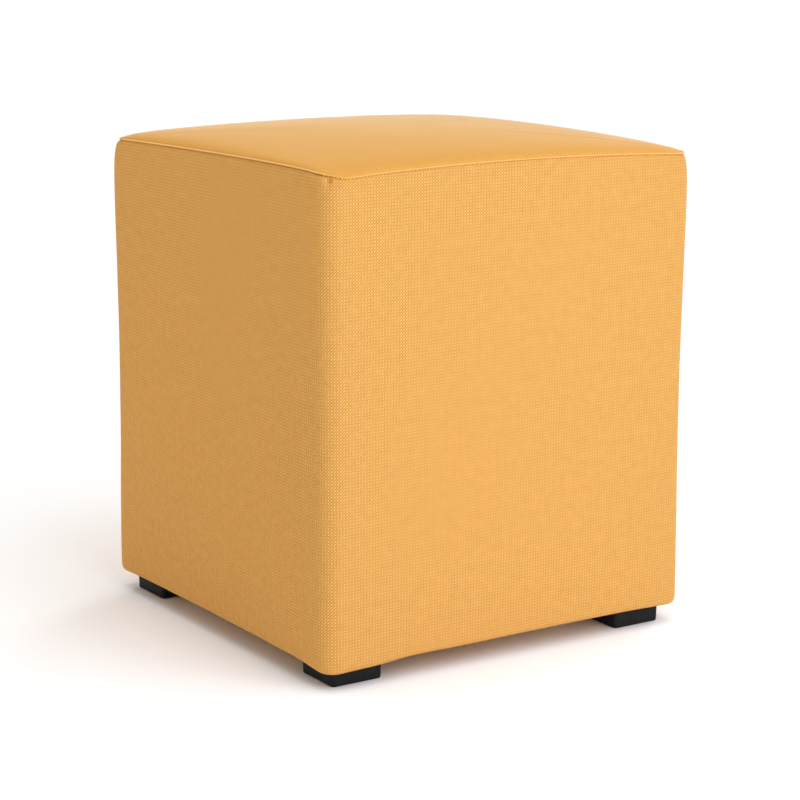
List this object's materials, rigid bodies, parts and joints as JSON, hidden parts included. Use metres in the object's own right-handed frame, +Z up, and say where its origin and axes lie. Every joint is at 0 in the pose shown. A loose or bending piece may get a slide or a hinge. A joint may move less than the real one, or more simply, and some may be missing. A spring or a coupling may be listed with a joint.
{
  "type": "cube pouf stool",
  "caption": "Padded cube stool in woven cloth, with a crowned top panel sewn to a side band turned under at the bottom, on low square plastic feet.",
  "frame": {"origin": "on the floor, under the middle of the cube", "axes": "+Z up, -Y out of the front face, -X out of the left face; these two meet at the corner named near"},
  "size_m": [0.4, 0.4, 0.4653],
  "materials": {
    "cloth": "matt woven upholstery cloth, mustard yellow",
    "feet": "moulded black plastic, satin"
  },
  "bodies": {
    "root": {"side_band": "cloth", "top_panel": "cloth", "foot_near": "feet", "foot_right": "feet", "foot_far": "feet", "foot_left": "feet"}
  },
  "joints": []
}
